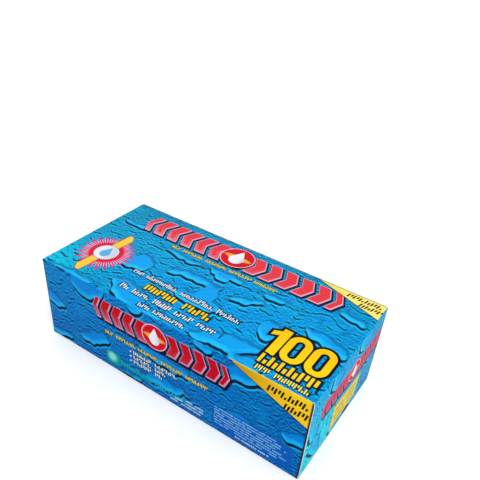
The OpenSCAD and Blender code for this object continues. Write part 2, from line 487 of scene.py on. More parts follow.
def signs(paint, x, y, left, base, height, pitch, count, colour, seed, word=7, gap=6, outline=0.9,
          lean=0.0, weight=0.3, short=0.0):
    """A line of bold dummy print: pairs of bars in groups, in place of any lettering. The second
    bar of each pair is shorter, and stands or hangs by chance. Every pair whose number is gap
    plus some words is left out, and short is how much lower the small pairs are."""
    place = x - (y - base) * lean if lean else x
    cell = (place - left) / pitch
    number = cell.floor()
    chance = paint.chance(number, seed)
    up = y - base
    size = (chance * 31.3).fraction().maths("GREATER_THAN", 0.3).scaled(-short * height, height)
    across = (cell.fraction() - 0.5) * pitch
    stroke = pitch * weight
    half = pitch * 0.41
    near = abs(across + (half - stroke / 2)) - stroke / 2
    far = abs(across - (half - stroke / 2)) - stroke / 2
    length = ((chance * 9.7).fraction() * 0.45 + 0.4) * size
    hangs = (chance * 3.3).fraction().maths("GREATER_THAN", 0.5)
    foot = hangs * (size - length)
    far = far.most((up - foot - length).most(foot - up))
    shape = near.most((up - size).most(-up)).least(far)
    blank = (-((number - gap) / word).fraction() + 0.5 / word) * 1000.0
    ends = abs(place - (left + count * pitch / 2)) - count * pitch / 2
    shape = shape.most(ends).most(blank)
    if outline:
        paint.ink((shape - outline).inside(0.5), print_ink(0, 14, 40), 0.95)
    paint.ink(shape.inside(0.3), colour)


def wedge(paint, x, y, corner, run, drop, pale, deep):
    """The plain yellow corner."""
    reach = (x - (corner[0] - run)) * (drop / run)
    under = -(y + reach) + corner[1]
    length = math.hypot(drop, run) / run
    edge = under / length
    paint.ink((edge - 1.2).inside(0.8), NAVY, 0.6)
    paint.ink(edge.inside(0.4), pale)
    paint.ink(edge.inside(0.4) * x.ramp(corner[0] - run * 0.15, corner[0] - run), deep, 0.9)


def water(paint, place, turn, light, dark, seed, strength=1.0):
    """The wet ground: fine rough water, then scattered small and middling drops."""
    shadow = print_ink(0, 36, 84)
    paint.ink(paint.noise(place, 19.0, 2.0, 0.5, seed=seed).ramp(0.5, 0.7), light, 0.35)
    wet_grain(paint, place, 1.9, 1.2, turn, light, dark, 0.65 * strength, seed)
    small_drops(paint, place, 2.9, 1.4, turn, 0.6, light, shadow, seed + 9, 0.65 * strength)
    small_drops(paint, place, 5.0, 1.7, turn, 0.6, light, shadow, seed + 17, 0.9 * strength)


def board_relief(paint, place):
    """The faint pebbling of coated board, as a height."""
    return paint.noise(place, 1.1, 2.0, 0.6) * 0.5 + paint.noise(place, 14.0, 1.0, 0.5, seed=3) * 1.5


def finish_print(paint, place, creases, roughness, specular):
    """Paints a pale blue line in patches along the creases, which are (field, where) in millimetres,
    partly worn ink and partly painted highlight of the rounded crease, and finishes the material."""
    wear_and_highlight = paint.noise(place, 13.0, 3.0, 0.6, seed=31)
    for field, where in creases:
        near = abs(field - where).ramp(0.8, 0.1)
        # Painted highlight and wear: the creases are painted paler, part worn ink and part the
        # highlight on the rounded crease.
        paint.ink(near * wear_and_highlight.ramp(0.5, 0.7), print_ink(150, 205, 235), 0.3)
    return paint.finish(roughness, bump=(board_relief(paint, place), 0.12), specular=specular)


def top_print():
    paint = Paint("printed_top")
    place, x, y = paint.art()
    # Painted light, in part: this ground blue and the banner red below are paler than the same inks
    # on the front and back, as on a face turned up to the lamps.
    paint.colour = print_ink(0, 146, 232)
    paint.ink(x.ramp(0, -110), print_ink(0, 152, 196), 0.9)
    paint.ink(x.ramp(40, 125), print_ink(0, 138, 214), 0.8)
    paint.ink(y.ramp(20, 60), print_ink(0, 112, 150), 0.8)
    paint.ink(x.ramp(-64, -122) * y.ramp(0, -60), print_ink(0, 222, 244), 0.95)
    water(paint, place, 0.0, print_ink(0, 200, 250), print_ink(0, 80, 146), 1.0)
    big_drops(paint, place, TOP_DROPS, print_ink(14, 166, 246), NAVY, print_ink(30, 204, 255))
    chevron_banner(paint, x, y + x * -0.012, -94, 91, 28.0, 22.0, 14.2, print_ink(232, 56, 70),
                   print_ink(226, 174, 200))
    drop_badge(paint, x, y, (-2, 40), 14)
    signs(paint, x, y, -54, 18.8, 3.5, 2.86, 36, print_ink(240, 226, 84), 3.1, word=8, gap=3,
          outline=0.6)
    signs(paint, x, y, -54, -27.4, 5.2, 3.25, 30, PALE, 8.7, word=10, gap=3, short=0.3)
    signs(paint, x, y, -34, -38.4, 6.4, 5.9, 10, YELLOW, 15.2, word=6, gap=5, outline=1.3)
    signs(paint, x, y, -50, -47.0, 5.2, 3.95, 23, PALE, 23.9, word=5, gap=7, short=0.25)
    signs(paint, x, y, -25, -55.2, 5.0, 3.45, 12, PALE, 31.4, word=9, gap=3, short=0.28)
    burst_badge(paint, x, y)
    numerals(paint, x, y, 66, -39, 28)
    signs(paint, x, y, 71.5, -48.8, 8.6, 7.25, 6, YELLOW, 40.3, word=99, gap=50, outline=1.7)
    signs(paint, x, y, 74, -55.4, 4.4, 3.55, 11, print_ink(245, 232, 110), 44.0, word=20, gap=3)
    wedge(paint, x, y, (121, 60), 64, 21, print_ink(255, 236, 120), print_ink(240, 222, 90))
    for left, base, count in ((88.5, 51.4, 6), (100.5, 45.4, 4)):
        signs(paint, x, y, left, base, 4.6, 4.7, count, print_ink(44, 40, 20), 51.0 + count,
              word=99, gap=50, outline=0, lean=0.25)
    strip = bar(x, y, (90, -59.5), (64, 3.2))
    paint.ink(strip.inside(0.3), YELLOW, 0.95)
    return finish_print(paint, place, [(x, -ART_X), (x, ART_X), (y, -ART_Y)], 0.36, 0.025)


def burst_badge(paint, x, y):
    """The burst near the left end, crossed by a gold band that goes behind a white drop."""
    length = starburst(paint, x, y, (-88, -21), 24, 22)
    band = bar(x, y, (-89, -21), (7.5, 60), slant=0.1)
    pointed = band.most(abs(y + 21) * 0.5 + abs(x + 89) * 0.8 - 17.5)
    paint.ink((pointed - 0.7).inside(0.5), print_ink(120, 40, 60), 0.8)
    paint.ink(pointed.inside(0.4), print_ink(255, 206, 64))
    paint.ink((length - 10.6).inside(0.5), print_ink(110, 110, 150), 0.9)
    paint.ink((length - 10.0).inside(0.4), print_ink(238, 240, 248))
    shade = (x + y * 0.4).ramp(-104, -86)
    paint.ink((length - 9.4).inside(0.4) * shade, print_ink(176, 188, 214), 0.6)
    drop = water_drop(x, y, (-88, -23), 4.2, 9.6)[0]
    paint.ink(drop.inside(0.4), print_ink(96, 176, 232))


def side_print():
    paint = Paint("printed_side")
    place, x, y = paint.art()
    # Painted shade, in part: this ground blue and the banner red below are darker than the same inks
    # on the top, as on a face turned away from the lamps.
    paint.colour = print_ink(0, 112, 198)
    paint.ink(x.ramp(0, -125) * y.ramp(-110, -60), print_ink(0, 140, 206), 0.8)
    paint.ink(x.ramp(20, 125), print_ink(0, 80, 160), 0.75)
    paint.ink(y.ramp(-85, -134), print_ink(0, 72, 176), 0.65)
    water(paint, place, 0.3, print_ink(0, 160, 236), print_ink(0, 40, 110), 5.0)
    big_drops(paint, place, SIDE_DROPS, print_ink(0, 138, 230), print_ink(0, 6, 34),
              print_ink(16, 188, 255))
    chevron_banner(paint, x, y, -66, 59, -85.0, 17.5, 11.4, print_ink(198, 4, 30),
                   print_ink(212, 148, 180))
    drop_badge(paint, x, y, (-5, -76), 11)
    signs(paint, x, y, -55, -98.8, 3.6, 2.8, 36, print_ink(232, 222, 120), 3.1, word=8, gap=3,
          outline=0.6)
    for row, count in enumerate((12, 9, 8)):
        base = -105.7 - row * 4.7
        paint.ink(oval(x, y, (-29.5, base + 1.6), (0.9, 0.9)).inside(0.4), PALE)
        signs(paint, x, y, -27, base, 3.5, 3.55, count, PALE, 9.0 + row * 7, word=20, gap=5,
              outline=0.5)
    mark = bar(x, y, (-48.5, -122.5), (12, 11))
    paint.ink((mark - 0.5).inside(3.0), print_ink(10, 168, 152), 0.95)
    paint.ink(oval(x, y, (-49.5, -121.5), (4.2, 4.2)).inside(3.5), print_ink(150, 240, 225), 0.8)
    signs(paint, x, y, -41, -125.8, 6.0, 3.3, 10, print_ink(16, 184, 160), 41.0, word=99, gap=50,
          outline=0, short=0.3)
    signs(paint, x, y, -6, -125.0, 4.4, 3.3, 9, print_ink(30, 190, 236), 48.0, word=99, gap=50,
          outline=0, short=0.3)
    for row, left in enumerate((24, 14, 9)):
        words(paint, x, y, left, 40, -123.0 - row * 3.1, 1.8, 1.2, print_ink(190, 225, 240),
              60.0 + row * 5.3, word=9.0)
    panel = bar(x, y, (80.5, -118.5), (65, 23.5))
    paint.ink(panel.inside(0.4), print_ink(0, 92, 188), 0.85)
    for row in range(7):
        words(paint, x, y, 49.5, 100 + (row * 37 % 11), -109.8 - row * 2.65, 1.5, 1.1,
              print_ink(128, 192, 236), 80.0 + row * 4.7, word=9.0 + row * 0.7)
    words(paint, x, y, 68, 96, -129.6, 1.9, 1.5, print_ink(190, 220, 245), 120.0)
    wedge(paint, x, y, (121, -58), 64, 25, print_ink(250, 205, 30), print_ink(196, 140, 0))
    for left, base, count in ((86.5, -68.0, 6), (99.5, -76.2, 4)):
        signs(paint, x, y, left, base, 5.8, 5.0, count, INK_BLACK, 51.0 + count, word=99, gap=50,
              outline=0, lean=0.25)
    # Painted shade: a darker band along the bottom crease, where the panel turns under towards the
    # floor.
    paint.ink(y.ramp(-131.5, -134.5), print_ink(0, 20, 60), 0.6)
    # Painted shade: near black over the last couple of millimetres at each end of the front and back,
    # for the gap where an end closure stands off the panel.
    paint.ink(abs(x).ramp(ART_X - 2.4, ART_X - 0.9), print_ink(0, 12, 36), 0.9)
    return finish_print(paint, place, [(y, -ART_Y), (y, -ART_Y - ART_H)], 0.38, 0.015)


def end_print():
    """An end: X on the sheet runs down from the top crease, and Y from the front to the back."""
    paint = Paint("printed_end")
    place, x, y = paint.art()
    paint.colour = print_ink(0, 156, 226)
    paint.ink(y.ramp(-10, 60), print_ink(0, 108, 178), 0.85)
    paint.ink(x.ramp(126, 176) * y.ramp(22, -42), print_ink(0, 238, 246), 0.97)
    water(paint, place, 1.2, print_ink(0, 216, 252), print_ink(0, 104, 176), 9.0, 0.75)
    big_drops(paint, place, END_DROPS, print_ink(0, 166, 238), NAVY, print_ink(20, 220, 255))
    across, up = y, x * -1.0
    chevron_banner(paint, across, up, -42, 58, -151, 14, 9.1, print_ink(222, 40, 76),
                   print_ink(190, 112, 160))
    drop_badge(paint, across, up, (8, -144), 8.5)
    patch = bar(across, up, (4.5, -173), (44, 26))
    paint.ink((patch - 0.8).inside(0.8), NAVY, 0.7)
    paint.ink(patch.inside(0.4), print_ink(236, 214, 70))
    for row in range(3):
        signs(paint, across, up, -14, -169.5 - row * 6.6, 3.6, 3.6, 10, print_ink(140, 110, 30),
              7.0 + row * 9, word=6, gap=4 + row, outline=0)
    paint.ink(oval(across, up, (13, -190), (4.5, 3.6)).inside(1.2), print_ink(30, 34, 50), 0.85)
    creases = [(x, ART_X), (x, ART_X + ART_H), (y, -ART_Y + 0.6), (y, ART_Y - 1.2)]
    return finish_print(paint, place, creases, 0.36, 0.008)


def bottom_print():
    paint = Paint("printed_bottom")
    place, x, y = paint.art()
    paint.colour = print_ink(0, 88, 176)
    paint.ink(x.ramp(-20, 125), print_ink(0, 68, 146), 0.7)
    water(paint, place, 0.3, print_ink(8, 160, 236), print_ink(0, 52, 124), 21.0, 0.9)
    big_drops(paint, place, FLOOR_DROPS, print_ink(10, 140, 232), print_ink(0, 14, 54),
              print_ink(30, 186, 255))
    for row in range(9):
        words(paint, x, y, -60, 56 + (row * 29 % 13), -170 - row * 5.2, 2.2, 1.6, PALE,
              5.0 + row * 6.3)
    creases = [(y, -ART_Y - ART_H), (x, -ART_X), (x, ART_X)]
    return finish_print(paint, place, creases, 0.38, 0.015)


def bare_board(name, bleed_and_shade):
    """Unprinted board: pale, with fibres and specks. When asked, a near-black band runs a little way
    over from the crease, which is where X on the sheet is 0: partly ink run over, partly painted
    shade."""
    paint = Paint(name)
    place, x, y = paint.art()
    solid = paint.solid()
    paint.colour = srgb(203, 199, 188)
    fibre = paint.noise(solid, 1.4, 3.0, 0.65, stretch=(5, 1, 1), seed=2)
    paint.ink(fibre.ramp(0.45, 0.72), srgb(222, 218, 208), 0.6)
    paint.ink(paint.noise(solid, 9.0, 2.0, 0.5, seed=6).ramp(0.4, 0.75), srgb(186, 181, 168), 0.45)
    speck = paint.noise(solid, 0.6, 1.0, 0.5, seed=11)
    paint.ink(speck.ramp(0.70, 0.76), srgb(120, 104, 84), 0.7)
    if bleed_and_shade:
        edge = x + paint.noise(solid, 3.0, 1.0, 0.4, seed=19) * 0.6
        # Painted shade, with some ink run over: the near-black band by the crease darkens the gap
        # beside an end closure.
        paint.ink(edge.ramp(3.5, 3.2), print_ink(0, 12, 36))
    relief = fibre * 0.8 + speck * 0.6
    return paint.finish(0.86, bump=(relief, 0.25), specular=0.3)


def cut_edge():
    """The raw cut through the board, which shows its pale layers."""
    paint = Paint("cut_edge")
    solid = paint.solid()
    paint.colour = srgb(214, 208, 194)
    layer = paint.noise(solid, 0.35, 3.0, 0.7, stretch=(14, 14, 1), seed=4)
    paint.ink(layer.ramp(0.4, 0.65), srgb(170, 160, 142), 0.6)
    paint.ink(paint.noise(solid, 1.5, 2.0, 0.6, seed=8).ramp(0.5, 0.7), srgb(236, 232, 222), 0.5)
    return paint.finish(0.92, bump=(layer, 0.3), specular=0.25)


def dried_adhesive():
    paint = Paint("dried_adhesive")
    solid = paint.solid()
    paint.colour = srgb(226, 214, 176)
    blotch = paint.noise(solid, 4.0, 3.0, 0.6, stretch=(3, 1, 1), seed=5)
    paint.ink(blotch.ramp(0.4, 0.7), srgb(204, 186, 138), 0.6)
    return paint.finish(blotch.scaled(0.3, 0.3), bump=(blotch, 0.4))


# ---- folded board --------------------------------------------------------------

ARC_STEPS = 10
QUARTER = math.pi / 2
QUARTER_RUN = CREASE_R * QUARTER


def even(low, high, steps):
    return [low + (high - low) * i / steps for i in range(steps + 1)]


class Fold:
    """A path across a section of the carton, from a corner at (0, 0): out is away from the
    carton, and up is along it. It is made of straight runs and creases, and turns inward."""

    def __init__(self, start, heading, runs):
        self.start = start
        self.heading = heading
        self.runs = runs

    def at(self, reach, depth):
        """The place reach metres along the outer face and depth metres into the board."""
        out, up = self.start
        heading = self.heading
        for length, turn in self.runs:
            step = min(reach, length)
            if turn:
                middle = (out - CREASE_R * math.sin(heading), up - CREASE_R * math.cos(heading))
                heading += step / CREASE_R
                out = middle[0] + CREASE_R * math.sin(heading)
                up = middle[1] + CREASE_R * math.cos(heading)
            else:
                out += step * math.cos(heading)
                up -= step * math.sin(heading)
            reach -= step
            if reach <= 0:
                break
        return out - depth * math.sin(heading), up - depth * math.cos(heading)


def add_object(name, data):
    """A new object in the scene."""
    piece = bpy.data.objects.new(name, data)
    bpy.context.scene.collection.objects.link(piece)
    return piece


def board_mesh(name, rows, place, art, inks, closed=False, filled=False):
    """A sheet of board from rows of flat points: a printed face, a bare face and cut edges.
    Closed rows are rings, and filled says that the first of them is filled in."""
    mesh = bpy.data.meshes.new(name)
    bm = bmesh.new()
    layer = bm.loops.layers.uv.new("Art")
    faces_of = []
    for depth in (0.0, BOARD):
        faces_of.append([[bm.verts.new(place(s, t, depth)) for s, t in row] for row in rows])
    flat = {}
    for verts in faces_of:
        for row, points in zip(verts, rows):
            for vert, (s, t) in zip(row, points):
                flat[vert] = art(s, t)
    outer, inner = faces_of
    count = len(rows[0])
    columns = range(count) if closed else range(count - 1)
    for verts, material in ((outer, 0), (inner, 1)):
        for i in range(len(rows) - 1):
            for j in columns:
                k = (j + 1) % count
                face = bm.faces.new((verts[i][j], verts[i][k], verts[i + 1][k], verts[i + 1][j]))
                face.material_index = material
                face.smooth = True
    if filled:
        for verts, material in ((outer, 0), (inner, 1)):
            bm.faces.new(verts[0]).material_index = material
    rims = [] if filled else [(0, j, 0, (j + 1) % count) for j in columns]
    rims += [(len(rows) - 1, j, len(rows) - 1, (j + 1) % count) for j in columns]
    if not closed:
        rims += [(i, j, i + 1, j) for i in range(len(rows) - 1) for j in (0, count - 1)]
    for i, j, k, m in rims:
        face = bm.faces.new((outer[i][j], outer[k][m], inner[k][m], inner[i][j]))
        face.material_index = 2
    bmesh.ops.recalc_face_normals(bm, faces=bm.faces)
    for face in bm.faces:
        for loop in face.loops:
            loop[layer].uv = flat[loop.vert]
    bm.to_mesh(mesh)
    bm.free()
    mesh.set_sharp_from_angle(angle=math.radians(50))
    for ink in inks:
        mesh.materials.append(ink)
    piece = add_object(name, mesh)
    return piece


def flap_rows(low, high, length, low_slope, high_slope, radius, starts, columns=24):
    """Rows across a flap from its crease to its free end, with both far corners rounded.
    starts are the distances from the crease of the rows before the corners."""
    centre = length - radius
    turns = even(0.0, QUARTER, 10)
    reaches = sorted(set(starts) | {centre + radius * math.sin(a) for a in turns})

    def edge(reach, side, slope):
        run = math.tan(slope)
        middle = side + centre * run + radius / math.cos(slope)
        if reach <= centre + radius * math.sin(slope):
            return side + reach * run
        return middle - math.sqrt(max(0.0, radius ** 2 - (reach - centre) ** 2))

    rows = []
    for reach in reaches:
        bottom = edge(reach, low, low_slope)
        top = -edge(reach, -high, high_slope)
        rows.append((reach, even(bottom, top, columns)))
    return rows


def ripple(x, y, seed):
    """A gentle unevenness of handled board, in metres."""
    return 0.18 * MM * math.sin(x * 37 + seed) * math.sin(y * 61 + seed * 1.7)


def crown(x, y, half_x, half_y, height, seed):
    """How far a panel swells out, which is nothing along its creases."""
    fade = max(0.0, 1 - (x / half_x) ** 2) * max(0.0, 1 - (y / half_y) ** 2)
    return fade * (height + ripple(x, y, seed) * 3)


# ---- the tube --------------------------------------------------------------------

def build_top(inks):
    """The top panel round the dispensing window, and the tear-out panel that fills it, which
    is returned."""
    half_x = X_END - CREASE_R
    low_y = Y_FRONT + CREASE_R
    high_y = Y_SEAM - CREASE_R
    middle = (low_y + high_y) / 2
    half_y = (high_y - low_y) / 2
    radius = WINDOW_Y
    spine = WINDOW_X - WINDOW_Y

    def place(s, t, depth):
        swell = crown(s, t - middle, half_x, half_y, 0.9 * MM, 0.4)
        return Vector((s, t, HEIGHT - depth + swell))

    def art(s, t):
        return s / MM, t / MM

    def outline(gap, nibs):
        """The window's edge, gap metres out from the tear-out panel, with small nibs where the
        cut leaves the board joined."""
        points = []
        straight = even(-spine, spine, 60)
        bend = even(-QUARTER, QUARTER, 48)
        edge = [(x, -radius, 0, -1) for x in straight[:-1]]
        edge += [(spine + radius * math.cos(a), radius * math.sin(a), math.cos(a), math.sin(a))
                 for a in bend[:-1]]
        edge += [(-x, radius, 0, 1) for x in straight[:-1]]
        edge += [(-spine - radius * math.cos(a), -radius * math.sin(a), -math.cos(a), -math.sin(a))
                 for a in bend[:-1]]
        for number, (x, y, nx, ny) in enumerate(edge):
            reach = 0.02 * MM if nibs and number % 4 == 0 else gap
            points.append((x + nx * reach, y + ny * reach))
        return points

    cut = outline(WINDOW_CUT, True)

    def corner_points(points):
        """Where the ray out from each point meets the panel's straight sides."""
        found = []
        for x, y in points:
            root = max(-spine, min(spine, x))
            dx, dy = x - root, y
            scale = min((half_x - abs(root)) / abs(dx) if abs(dx) > 1e-9 else 1e9,
                        (high_y if dy > 0 else -low_y) / abs(dy) if abs(dy) > 1e-9 else 1e9)
            found.append((root + dx * scale, dy * scale))
        for corner in ((half_x, low_y), (half_x, high_y), (-half_x, high_y), (-half_x, low_y)):
            nearest = min(range(len(found)), key=lambda i: math.dist(found[i], corner))
            found[nearest] = corner
        return found

    rim = corner_points(cut)
    rows = [[(a[0] + (b[0] - a[0]) * f, a[1] + (b[1] - a[1]) * f) for a, b in zip(cut, rim)]
            for f in even(0, 1, 12)]
    top = board_mesh("top_panel_board", rows, place, art, inks, closed=True)
    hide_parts("top_panel")
    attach(top, "root")

    def shrunk(x, y, f):
        """A point of the lid's edge drawn in towards its spine."""
        root = max(-spine, min(spine, x))
        return root * (0.02 + 0.98 * f) + (x - root) * f, y * f

    edge = outline(0.0, False)
    inner = [[shrunk(x, y, f) for x, y in edge] for f in even(0.02, 1, 12)]
    lid = board_mesh("tear_out_board", inner, place, art, inks, closed=True,
                     filled=True)
    return lid


def build_side(name, node, out, start, heading, runs, inks, x_sign):
    """The front or the back panel: a path down its outer face, swept along the carton."""
    fold = Fold(start, heading, runs)
    total = sum(length for length, turn in runs)
    dust_low, dust_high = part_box("right_front_dust_flap")
    first = runs[0][0] if runs[0][1] else 0.0
    drop = HEIGHT - (CREASE_R if runs[0][1] else 0.0)
    top_notch = first + drop - dust_high.z
    low_notch = first + drop - dust_low.z
    ease = 0.04 * MM
    reaches = even(0, first, ARC_STEPS) if first else [0.0]
    reaches += [top_notch - ease, top_notch + ease]
    reaches += even(top_notch + ease, low_notch - ease, 14)[1:]
    reaches += [low_notch + ease]
    reaches += even(total - QUARTER_RUN, total, ARC_STEPS)
    base = -Y_FRONT if out < 0 else Y_BACK
    swell_mid = (top_notch + low_notch) / 2
    swell_half = (total - QUARTER_RUN - first) / 2

    def place(s, t, depth):
        swell = crown(s, t - swell_mid, X_DUST, swell_half, 0.5 * MM, 2.1)
        away, up = fold.at(t, depth - swell)
        return Vector((s, out * (base + away), HEIGHT + up))

    def art(s, t):
        away, up = fold.at(t, 0)
        past = -1.0 if t < total / 2 else 1.0       # over the upper or the lower crease
        return x_sign * s / MM, -ART_Y + up / MM - min(0.0, away) * past / MM

    rows = []
    for reach in reaches:
        notched = top_notch < reach < low_notch
        half = X_DUST - CREASE_R if notched else X_DUST
        rows.append([(s, reach) for s in even(-half, half, 48)])
    piece = board_mesh(name, rows, place, art, inks)
    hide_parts(node)
    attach(piece, "root")
    return piece


def build_bottom(inks):
    low = Y_FRONT + CREASE_R
    high = Y_BACK - CREASE_R
    rows = [[(s, t) for s in even(-X_END, X_END, 40)] for t in even(low, high, 20)]
    piece = board_mesh("bottom_panel_board", rows, lambda s, t, depth: Vector((s, t, depth)),
                       lambda s, t: (s / MM, -ART_Y - ART_H - (t - Y_FRONT) / MM), inks)
    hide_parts("bottom_panel")
    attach(piece, "root")
    return piece


def build_glue_flap(inks):
    low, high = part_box("glue_flap")
    fold = Fold((-CREASE_R, 0.0), 0.0, [(QUARTER_RUN, True), (HEIGHT - CREASE_R - low.z, False)])
    total = QUARTER_RUN + HEIGHT - CREASE_R - low.z
    reaches = even(0, QUARTER_RUN, ARC_STEPS) + even(QUARTER_RUN, total, 6)[1:]

    def place(s, t, depth):
        out, up = fold.at(t, depth)
        return Vector((s, Y_SEAM + out, HEIGHT + up))

    rows = [[(s, t) for s in even(low.x, high.x, 40)] for t in reaches]
    piece = board_mesh("glue_flap_board", rows, place, lambda s, t: (t / MM, s / MM), inks)
    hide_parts("glue_flap")
    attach(piece, "root")
    return piece


# ---- the ends ----------------------------------------------------------------------

TUCK_SLOPE = math.radians(12)
TUCK_CORNER = 8 * MM
DUST_LOW_SLOPE = math.radians(14)
DUST_TOP_SLOPE = math.radians(30)
DUST_CORNER = 7 * MM
TUCK_TANGENT = CREASE_R * math.tan((QUARTER + TUCK_SLOPE) / 2)


def bend_over(piece, start, end):
    """Bakes a flap's placement into its mesh; the flap is built already folded and is not bent here.
    start and end, where the outer face of its crease runs, are not used.
    """
    start, end = Vector(start), Vector(end)
    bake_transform(piece)


def build_closure(side, name, inks, flap_inks):
    """An end closure and the tuck flap at its foot, drawn for the right end."""
    low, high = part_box(f"{name}_closure_panel")
    wall = HEIGHT - CREASE_R - Z_TUCK - TUCK_TANGENT
    tuck_bend = CREASE_R * (QUARTER + TUCK_SLOPE)
    tuck_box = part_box(f"{name}_tuck_flap")
    tuck_length = (X_END - min(abs(tuck_box[0].x), abs(tuck_box[1].x))) / math.cos(TUCK_SLOPE)
    fold = Fold((-CREASE_R, 0.0), 0.0, [
        (QUARTER_RUN, True), (wall, False), (tuck_bend, True), (tuck_length, False)])
    foot = QUARTER_RUN + wall
    middle = QUARTER_RUN + wall / 2

    def place(s, t, depth):
        swell = crown(s, t - middle, 60 * MM, wall / 2, 0.7 * MM, 3.3 * side) if t < foot else 0.0
        out, up = fold.at(t, depth - swell)
        return Vector((side * (X_END + out), s, HEIGHT + up))

    def end_art(s, t):
        if t > QUARTER_RUN:
            reach = t - QUARTER_RUN + CREASE_R
        else:
            reach = t / QUARTER_RUN * CREASE_R * 2 - CREASE_R
        return ART_X + reach / MM, side * s / MM

    reaches = even(0, QUARTER_RUN, ARC_STEPS) + even(QUARTER_RUN, foot, 16)[1:]
    rows = [[(s, t) for s in even(low.y, high.y, 28)] for t in reaches]
    panel = board_mesh(f"{name}_closure_board", rows, place, end_art, inks)
    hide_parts(f"{name}_closure_panel")
    bend_over(panel, (side * (X_END - CREASE_R), 0, HEIGHT),
              (side * X_END, 0, HEIGHT - CREASE_R))

    start = foot + tuck_bend - TUCK_TANGENT
    outline = flap_rows(tuck_box[0].y, tuck_box[1].y, tuck_length, 0.0, 0.0, TUCK_CORNER,
                        even(TUCK_TANGENT, 6 * MM, 4))
    rows = [[(s, t) for s in outline[0][1]] for t in even(foot, foot + tuck_bend, ARC_STEPS)[:-1]]
    rows += [[(s, start + reach) for s in across] for reach, across in outline]
    tuck = board_mesh(f"{name}_tuck_board", rows, place, lambda s, t: ((t - foot) / MM, s / MM),
                      flap_inks)
    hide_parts(f"{name}_tuck_flap")
    bend_over(tuck,
              (side * X_END, 0, Z_TUCK + TUCK_TANGENT),
              (side * (X_END - TUCK_TANGENT * math.cos(TUCK_SLOPE)), 0,
               Z_TUCK + TUCK_TANGENT * math.sin(TUCK_SLOPE)))
    return panel, tuck


def build_dust_flap(side, end, name, where, inks):
    """One dust flap: side is -1 at the left end and 1 at the right, end is -1 at the front."""
    node = f"{name}_{where}_dust_flap"
    low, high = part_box(node)
    length = high.y - low.y
    fold = Fold((-CREASE_R, 0.0), 0.0, [(QUARTER_RUN, True), (length, False)])
    start = QUARTER_RUN - CREASE_R
    outline = flap_rows(low.z, high.z, length, DUST_LOW_SLOPE, DUST_TOP_SLOPE, DUST_CORNER,
                        even(CREASE_R, 38 * MM, 10))

    def place(s, t, depth):
        out, up = fold.at(t, depth)
        return Vector((side * (X_DUST + out), end * (-Y_FRONT + up), s))

    rows = [[(s, t) for s in even(low.z, high.z, 24)] for t in even(0, QUARTER_RUN, ARC_STEPS)[:-1]]
    rows += [[(s, start + reach) for s in across] for reach, across in outline]
    piece = board_mesh(f"{name}_{where}_dust_board", rows, place, lambda s, t: (t / MM, s / MM),
                       inks)
    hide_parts(node)
    bend_over(piece,
              (side * (X_DUST - CREASE_R), end * -Y_FRONT, 0),
              (side * X_DUST, end * (-Y_FRONT - CREASE_R), 0))
    return piece


# ---- the gloves ----------------------------------------------------------------------

GLOVE_LOW, GLOVE_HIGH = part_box("glove_01")
GLOVE_L = GLOVE_HIGH.x - GLOVE_LOW.x
GLOVE_W = GLOVE_HIGH.y - GLOVE_LOW.y
PALM_L = 0.6 * GLOVE_L
FINGER_W = GLOVE_W / 4
FINGER_REACH = (0.93, 1.0, 0.97, 0.86)
LOOSE_GLOVES = 10
BUNDLES = 9
PILE_SWELL = 0.9 * MM                               # how unevenly the top of the pile lies
FILM_FRAMES = 22                                    # of the top glove's cloth simulation
FILM_GROWTH = 0.13
FILM_BENDING = 0.004
FILM_PRESSURE = 0.35
FILM_TOP = HEIGHT - BOARD - 1.2 * MM                # the highest that its film may rise
FILM_SINK = 0.25 * MM                               # and how far it may sink
CUFF_HELD = 6 * MM                                  # the stretch at its cuff that is held


def smooth(value):
    value = max(0.0, min(1.0, value))
    return value * value * (3 - 2 * value)


def glove_rows(palm_rows, finger_rows, tip_rows):
    """Distances from the cuff of the rows of the palm, and those of each finger."""
    palm = [0.0, 0.6 * MM, 1.4 * MM, 3 * MM] + even(3 * MM, PALM_L, palm_rows)[1:]
    fingers = []
    for reach in FINGER_REACH:
        radius = FINGER_W / 2
        straight = reach * GLOVE_L - radius
        turns = [math.radians(80) * (i + 1) / tip_rows for i in range(tip_rows)]
        rows = even(PALM_L, straight, finger_rows)[1:]
        fingers.append(rows + [straight + radius * math.sin(turn) for turn in turns])
    return palm, fingers


def finger_half_width(finger, along):
    """Half the width of a finger, which narrows a little and then rounds off at its tip."""
    radius = FINGER_W / 2
    straight = FINGER_REACH[finger] * GLOVE_L - radius
    past = max(0.0, along - straight)
    taper = 1 - 0.10 * smooth((along - PALM_L) / (straight - PALM_L))
    slit = 0.35 * MM * smooth((along - PALM_L) / (6 * MM))
    return max(0.0, math.sqrt(max(0.0, radius ** 2 - past ** 2)) * taper - slit)


def palm_half_width(along):
    """Half the width of the palm, which is narrower at the cuff."""
    return GLOVE_W / 2 * (0.90 + 0.10 * smooth(along / (0.42 * GLOVE_L)))


def to_capsule(x, y, start, end):
    """How far a point is from the line between two points."""
    dx, dy = end[0] - start[0], end[1] - start[1]
    share = max(0.0, min(1.0, ((x - start[0]) * dx + (y - start[1]) * dy) / (dx * dx + dy * dy)))
    return math.hypot(x - start[0] - dx * share, y - start[1] - dy * share)


